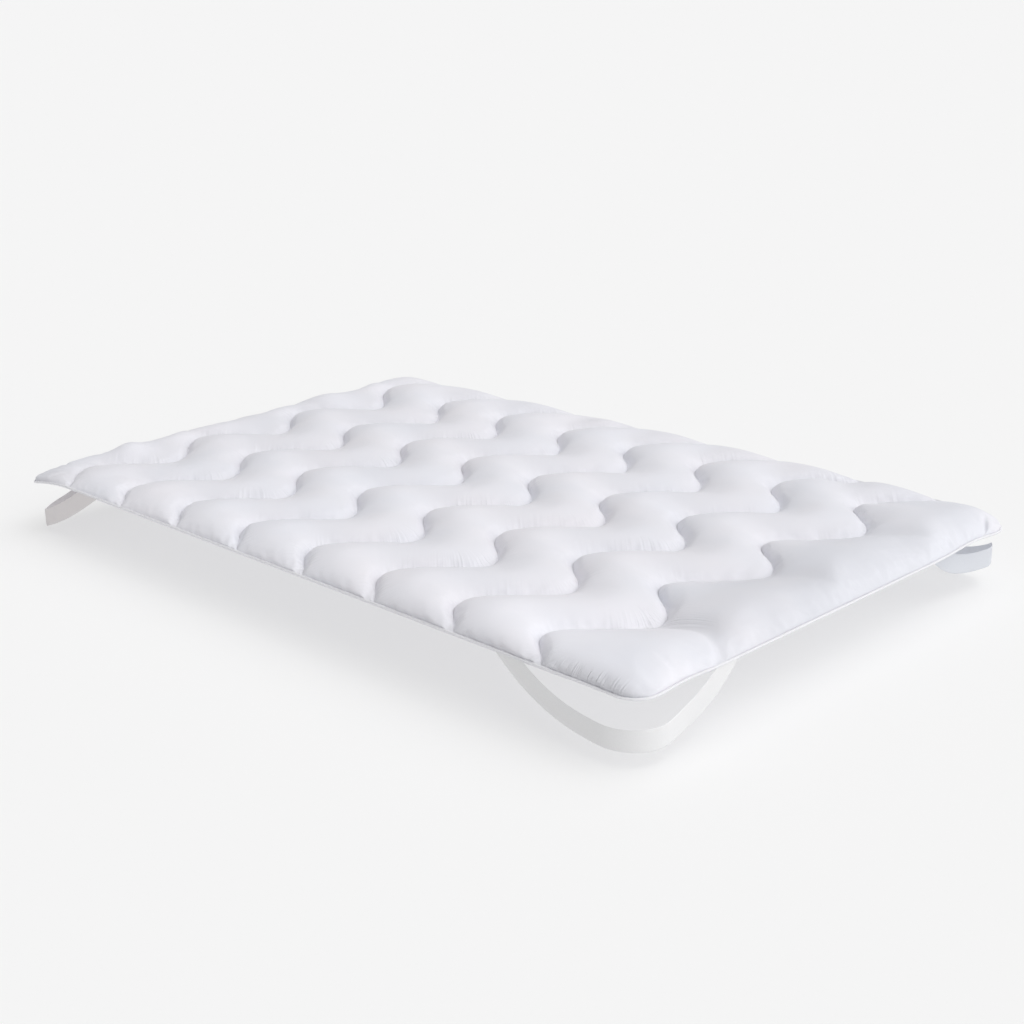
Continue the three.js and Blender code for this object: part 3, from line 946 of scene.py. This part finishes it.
class Finish:
    """One material, made node by node."""

    def __init__(self, name):
        self.material = bpy.data.materials.new(name)
        self.material.use_nodes = True
        self.tree = self.material.node_tree
        self.tree.nodes.clear()

    def add(self, kind, settings=None, values=None, output=0):
        """Adds a node: its settings first, then the values or links of its sockets."""
        node = self.tree.nodes.new(kind)
        for setting, value in (settings or {}).items():
            if setting == "stops":
                self._stops(node.color_ramp, value)
            else:
                setattr(node, setting, value)
        for socket, value in (values or {}).items():
            if isinstance(value, Flow):
                self.tree.links.new(value.socket, node.inputs[socket])
            else:
                node.inputs[socket].default_value = value
        return Flow(self, node.outputs[output])

    def place(self):
        """Where a point lies on its piece, in metres."""
        return self.add("ShaderNodeTexCoord", None, None, 3)

    def axes(self, place):
        """The three coordinates of a place."""
        return [self.add("ShaderNodeSeparateXYZ", None, {0: place}, axis) for axis in range(3)]

    def noise(self, place, scale):
        """Soft noise over space, about 0 to 1."""
        return self.add("ShaderNodeTexNoise", None,
                        {"Vector": place, "Scale": scale, "Detail": 2.0})

    def folds(self, along, scale):
        """Soft noise along one line, about 0 to 1."""
        return self.add("ShaderNodeTexNoise", {"noise_dimensions": "1D"},
                        {"W": along, "Scale": scale, "Detail": 1.0})

    def blend(self, value, stops):
        """A colour that follows a value."""
        return self.add("ShaderNodeValToRGB", {"stops": stops}, {"Fac": value})

    def bump(self, height, strength):
        """The bump of a height in metres."""
        return self.add("ShaderNodeBump", None,
                        {"Height": height, "Distance": 1.0, "Strength": strength})

    def _stops(self, ramp, stops):
        while len(ramp.elements) < len(stops):
            ramp.elements.new(1.0)
        for element, (place, colour) in zip(ramp.elements, stops):
            element.position = place
            element.color = colour

    def cloth(self, **values):
        """Ends the material with one Principled shader."""
        names = {name.replace("_", " "): value for name, value in values.items()}
        shader = self.add("ShaderNodeBsdfPrincipled", None, names)
        output = self.tree.nodes.new("ShaderNodeOutputMaterial")
        self.tree.links.new(shader.socket, output.inputs["Surface"])
        return self.material


# %% [markdown]
# ## The cover cloth
#
# The cover is brushed microfibre: very fine threads, almost no shine, and a soft bloom where
# the cloth turns away. The weave is only a few tenths of a millimetre across, so it goes into
# the bump. Its colour is a cool white that varies a little with the filling behind it. Painted
# shade darkens it low on the near side, along the seams, over the right-hand end channel and at
# the near left tip, and a painted highlight lightens the near right puff.

# %% Cover cloth
PUCKER_REACH = 0.030
PUCKER_DEPTH = 0.0040
PUCKER_SCALE = 170.0
PUCKER_LEAST = 0.45
SEAM_STAGGER = 0.37
GATHER_REACH = 0.024
GATHER_DEPTH = 0.0020
GATHER_SCALE = 290.0
GATHER_STAGGER = 0.1
GATHER_FROM_X = -0.5
GATHER_GROWS_OVER = 1.4
GATHER_LEAST = 0.15
FAR_GATHER = 0.3
END_GATHER = 0.08
END_GATHER_SCALE = 190.0
CORNER_GATHER = 0.6
CORNER_FROM_X = 0.3
PATCH_SCALE = 7.0
PATCH_LEAST = 0.35
PATCH_GAIN = 4.0
FAN_PLACE = (0.803, -0.333)
FAN_REACH = 0.044
FAN_FOLDS = 190.0
FAN_DEPTH = 0.0060
FAN_EDGE = (120.0, 0.8)
SEAM_LINE = 0.0035
SEAM_SHADE = 0.05
SEAM_LINE_ENDS_Y = 0.30
SEAM_LINE_FADE = 6.0
COVER_TINTS = [(0.25, (0.760, 0.768, 0.822, 1)), (0.5, (0.780, 0.777, 0.824, 1)),
               (0.75, (0.795, 0.782, 0.824, 1))]
COOL_PLACE = (0.93, 0.15)
COOL_REACH = 0.20
COOLER = 0.25
# Painted shade over the right-hand end channel, which stops at the arc of the pressed valley.
END_SHADE_Y = -0.12
END_SHADE_REACH = 0.36
END_SHADE_DEPTH = 0.080
END_SHADE_EDGE = (60.0, 0.5)
END_SHADE_FADE = 12.0
# Soft patches painted lighter or darker: a painted highlight on the near right puff, painted
# shade at the near left tip and a patch a little darker on the left. Where, how far they
# reach, and how much lighter they are.
PATCHES = [
    ((0.70, -0.50), 0.20, 0.075),
    ((-HALF_LENGTH, -HALF_WIDTH), 0.12, -0.12),
    ((-0.72, 0.02), 0.45, -0.048),
]
# Painted shade low on the near side, towards the right-hand end: how far it reaches from the edge
# and up from the rim, and how dark.
SHADE_REACH = 0.040
SHADE_HEIGHT = 0.030
FOLD_SHADE = 0.22
CLOUD_SCALE = 5.0
THREAD_PITCH = 0.0007
THREAD_HEIGHT = 0.00003
NAP_SCALE = 900.0
NAP_HEIGHT = 0.00004


def micro_weave(x, y):
    """A plain weave as height: warp and weft threads over and under each other."""
    warp, weft = ((way * (2 * math.pi / THREAD_PITCH)).through("SINE") for way in (x, y))
    return warp * weft * THREAD_HEIGHT


def from_hollow(x, y):
    """How far a place is outside the circle of the pressed valley."""
    from_x, from_y = x - HOLLOW_PLACE[0], y - HOLLOW_PLACE[1]
    return (from_x * from_x + from_y * from_y) ** 0.5 - HOLLOW_RADIUS


def around(x, y, place, reach, reach_y=None):
    """1 at a place on the cloth, falling smoothly away round it."""
    return (x - place[0]).hill(reach) * (y - place[1]).hill(reach_y or reach)


def puckers(finish, place):
    """Short creases that fan out from the seams and the edge, as height, and a mask of painted
    shade along the seams.
    """
    x, y, _ = finish.axes(place)
    phase = (y - WAVE_CREST_Y) * (2 * math.pi / WAVE_LENGTH)
    turned = phase - phase.through("COSINE") * WAVE_SKEW
    past = x - FIRST_SEAM_X - turned.through("COSINE") * WAVE_SWING
    number = (past / SEAM_PITCH + 0.5).through("FLOOR")
    from_seam = past - number * SEAM_PITCH
    slant = turned.through("SINE") * (-2 * math.pi * WAVE_SWING / WAVE_LENGTH)
    slanted = slant * slant + 1.0
    square_off = from_seam / slanted**0.5
    sewn = number.through("LESS_THAN", 0.5) * number.through("GREATER_THAN", 0.5 - SEAM_COUNT)
    tight = (phase.through("SINE") * 0.5 + 0.5) ** 2.0 * (1 - PUCKER_LEAST) + PUCKER_LEAST
    near_seam = square_off.hill(PUCKER_REACH) * sewn * tight
    along_seam = y + slant * from_seam / slanted + number * SEAM_STAGGER

    to_the_right = ((x - GATHER_FROM_X) / GATHER_GROWS_OVER).through("MAXIMUM", GATHER_LEAST)
    at_near_side = (y + HALF_WIDTH).hill(GATHER_REACH)
    sides = at_near_side * to_the_right + (y - HALF_WIDTH).hill(GATHER_REACH) * FAR_GATHER
    ends = (x.through("ABSOLUTE") - HALF_LENGTH).hill(GATHER_REACH) * END_GATHER
    in_fan = around(x, y, FAN_PLACE, FAN_REACH)
    in_fan = in_fan * (from_hollow(x, y) * FAN_EDGE[0] + FAN_EDGE[1]).clamped()
    at_corner = at_near_side * ((x - CORNER_FROM_X) / 0.6).through("MAXIMUM")
    strength = (finish.noise(place, PATCH_SCALE) - PATCH_LEAST).through("MAXIMUM") * PATCH_GAIN
    strength = strength + at_corner * CORNER_GATHER

    height = (finish.folds(along_seam, PUCKER_SCALE) - 0.5) * near_seam * PUCKER_DEPTH
    rim_folds = finish.folds(x + from_seam * GATHER_STAGGER, GATHER_SCALE) - 0.5
    height = height + rim_folds * sides * GATHER_DEPTH
    height = height + (finish.folds(y, END_GATHER_SCALE) - 0.5) * ends * GATHER_DEPTH
    fan = finish.folds(from_hollow(x, y), FAN_FOLDS) - 0.5
    lies_flat = ((SEAM_LINE_ENDS_Y - y) * SEAM_LINE_FADE).clamped()
    on_seam = square_off.hill(SEAM_LINE) * sewn * lies_flat
    return height * strength + fan * in_fan * FAN_DEPTH, on_seam


def cover_cloth():
    finish = Finish("brushed_cover_cloth")
    place = finish.place()
    x, y, z = finish.axes(place)
    folds, on_seam = puckers(finish, place)
    cooler = around(x, y, COOL_PLACE, COOL_REACH, COOL_REACH * 2)
    colour = finish.blend(finish.noise(place, CLOUD_SCALE) - cooler * COOLER, COVER_TINTS)
    # Painted shade low on the near side, growing towards the right-hand end.
    in_folds = (y + HALF_WIDTH).hill(SHADE_REACH) * (z - RIM_HEIGHT).hill(SHADE_HEIGHT)
    in_folds = in_folds * (x / HALF_LENGTH).through("MAXIMUM")
    colour = colour * (1.0 - in_folds * FOLD_SHADE)
    # Painted shade over the right-hand end channel, and a thin line of painted shade along the
    # seams.
    painted_end_shade = (y - END_SHADE_Y).hill(END_SHADE_REACH) * ((x - FIRST_SEAM_X) * END_SHADE_FADE).clamped()
    painted_end_shade = painted_end_shade * (from_hollow(x, y) * END_SHADE_EDGE[0] + END_SHADE_EDGE[1]).clamped()
    tone = 1.0 - painted_end_shade * END_SHADE_DEPTH - on_seam * SEAM_SHADE
    # A painted highlight and painted shade in soft patches.
    for patch, reach, lighter in PATCHES:
        tone = tone + around(x, y, patch, reach) * lighter
    colour = colour * tone
    height = micro_weave(x, y) + finish.noise(place, NAP_SCALE) * NAP_HEIGHT + folds
    return finish.cloth(Base_Color=colour, Roughness=0.82, Sheen_Weight=0.12,
                        Sheen_Roughness=0.45, Normal=finish.bump(height, 0.8))


COVER_CLOTH = cover_cloth()
pad.data.materials.append(COVER_CLOTH)
print("cover cloth:", len(COVER_CLOTH.node_tree.nodes), "nodes")

# %% [markdown]
# ## Piping cloth and elastic
#
# The piping is wrapped in the same fibre woven tighter and cut on the slant, so it shines a
# little more. The straps are woven elastic: rubber cords run along the band as fine ribs
# under a covering of white yarn.

# %% Piping cloth and elastic
PIPING_GRAIN_SCALE = 700.0
PIPING_GRAIN_HEIGHT = 0.00008
RIB_PITCH = 0.0016
RIB_HEIGHT = 0.00006


def piping_cloth():
    finish = Finish("piping_cloth")
    grain = finish.noise(finish.place(), PIPING_GRAIN_SCALE)
    colour = finish.blend(grain, [(0.3, (0.76, 0.76, 0.79, 1)), (0.7, (0.80, 0.80, 0.83, 1))])
    return finish.cloth(Base_Color=colour, Roughness=0.7, Sheen_Weight=0.1,
                        Normal=finish.bump(grain * PIPING_GRAIN_HEIGHT, 0.6))


def woven_elastic(name, dark, light):
    """Elastic with ribs along the band, between a darker and a lighter yarn."""
    finish = Finish(name)
    place = finish.place()
    ribs = (finish.axes(place)[2] * (2 * math.pi / RIB_PITCH)).through("SINE")
    yarn = finish.noise(place, NAP_SCALE)
    return finish.cloth(Base_Color=finish.blend(yarn, [(0.3, dark), (0.7, light)]), Roughness=0.75,
                        Sheen_Weight=0.05,
                        Normal=finish.bump(ribs * RIB_HEIGHT + yarn * RIB_HEIGHT, 0.7))


PIPING_CLOTH = piping_cloth()
ELASTIC = woven_elastic("woven_elastic", (0.780, 0.780, 0.788, 1), (0.820, 0.820, 0.828, 1))
# Painted shade: darker copies of the elastic for the near left strap and, cooler too, for the far
# right strap.
FAR_RIGHT_SHADED_ELASTIC = woven_elastic("woven_elastic_painted_shade_far_right", (0.65, 0.67, 0.715, 1), (0.69, 0.71, 0.755, 1))
NEAR_LEFT_SHADED_ELASTIC = woven_elastic("woven_elastic_painted_shade_near_left", (0.72, 0.69, 0.695, 1), (0.76, 0.73, 0.735, 1))
BAND_CLOTH = {"near_left": NEAR_LEFT_SHADED_ELASTIC, "far_right": FAR_RIGHT_SHADED_ELASTIC}
piping.data.materials.append(PIPING_CLOTH)
thread.data.materials.append(PIPING_CLOTH)
for corner_name, (band, _, _) in straps.items():
    band.data.materials.append(BAND_CLOTH.get(corner_name, ELASTIC))
print("piping and elastic are dressed")

# %% [markdown]
# ## Floor and light
#
# The topper hangs just clear of a pale floor, as if a mattress were under it. A wide, soft sun
# from behind and two weaker or wider ones from above and from the right model the channels,
# and an even sky fills the shadows. They light every part of a large floor alike, so the floor
# stays one pale tone, and a low pale wall far away carries that tone past the floor's edge.

# %% Floor and light
FLOOR_Z = -0.118
FLOOR_RADIUS = 2000.0
STAGE_SIDES = 96
FLOOR_SHADE = 0.44
FLOOR_GLOW = 0.4815
BACKDROP_HEIGHT = 300.0
BACKDROP_GLOW = 0.913
SKY_STRENGTH = 0.405


def degrees_to_way(azimuth, elevation):
    """The direction of an azimuth and an elevation in degrees."""
    a, e = math.radians(azimuth), math.radians(elevation)
    return Vector((math.cos(a) * math.cos(e), math.sin(a) * math.cos(e), math.sin(e)))


# Which way each light comes from, how wide it is in degrees, and how strong.
SUNS = {
    "key": (degrees_to_way(68, 55), 55, 0.23 * math.pi),
    "top": (degrees_to_way(0, 80), 50, 0.11 * math.pi),
    "fill": (degrees_to_way(5, 40), 70, 0.42 * math.pi),
}


def ring(z):
    """A large circle of points round the topper, at one height."""
    return [(FLOOR_RADIUS * math.cos(a), FLOOR_RADIUS * math.sin(a), z)
            for a in np.linspace(0, 2 * math.pi, STAGE_SIDES, endpoint=False)]


def pale_surface(name, points, faces, shade, roughness, glow):
    """A large plain surface that glows a little."""
    made = cloth_object(name, points, faces, rounded=False)
    made.data.materials.append(Finish("pale_" + name).cloth(
        Base_Color=(shade, shade, shade, 1), Roughness=roughness, Specular_IOR_Level=0.0,
        Emission_Color=(1, 1, 1, 1), Emission_Strength=glow))
    return made


floor = pale_surface("floor", ring(FLOOR_Z), [tuple(range(STAGE_SIDES))], FLOOR_SHADE, 0.95,
                     FLOOR_GLOW)
wall_faces = [(k, k + STAGE_SIDES, (k + 1) % STAGE_SIDES + STAGE_SIDES, (k + 1) % STAGE_SIDES)
              for k in range(STAGE_SIDES)]
backdrop = pale_surface("backdrop", ring(FLOOR_Z) + ring(BACKDROP_HEIGHT), wall_faces, 0, 1.0,
                        BACKDROP_GLOW)
for light_name, (way, width, strength) in SUNS.items():
    sun_data = bpy.data.lights.new(light_name, "SUN")
    sun_data.energy = strength
    sun_data.angle = math.radians(width)
    sun = bpy.data.objects.new(light_name, sun_data)
    bpy.context.scene.collection.objects.link(sun)
    sun.rotation_euler = way.to_track_quat("Z", "Y").to_euler()

world = bpy.data.worlds.new("sky")
world.use_nodes = True
background = world.node_tree.nodes["Background"]
background.inputs["Color"].default_value = (1.0, 1.0, 1.0, 1.0)
background.inputs["Strength"].default_value = SKY_STRENGTH
bpy.context.scene.world = world
bpy.context.scene.view_settings.view_transform = "Standard"
print("floor at", FLOOR_Z, "m, lights", sorted(SUNS), "sky", SKY_STRENGTH)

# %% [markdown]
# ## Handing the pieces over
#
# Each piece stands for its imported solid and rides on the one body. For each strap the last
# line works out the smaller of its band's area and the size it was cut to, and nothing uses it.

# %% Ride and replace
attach(pad, BODY)
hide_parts("quilted_pad")

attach(piping, BODY)
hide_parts("edge_piping")

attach(thread, BODY)

for corner_name, (band, area, length) in straps.items():
    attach(band, BODY)
    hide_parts("elastic_strap_" + corner_name)
    min(area, STRAP_WIDTH * length)

bpy.context.view_layer.update()
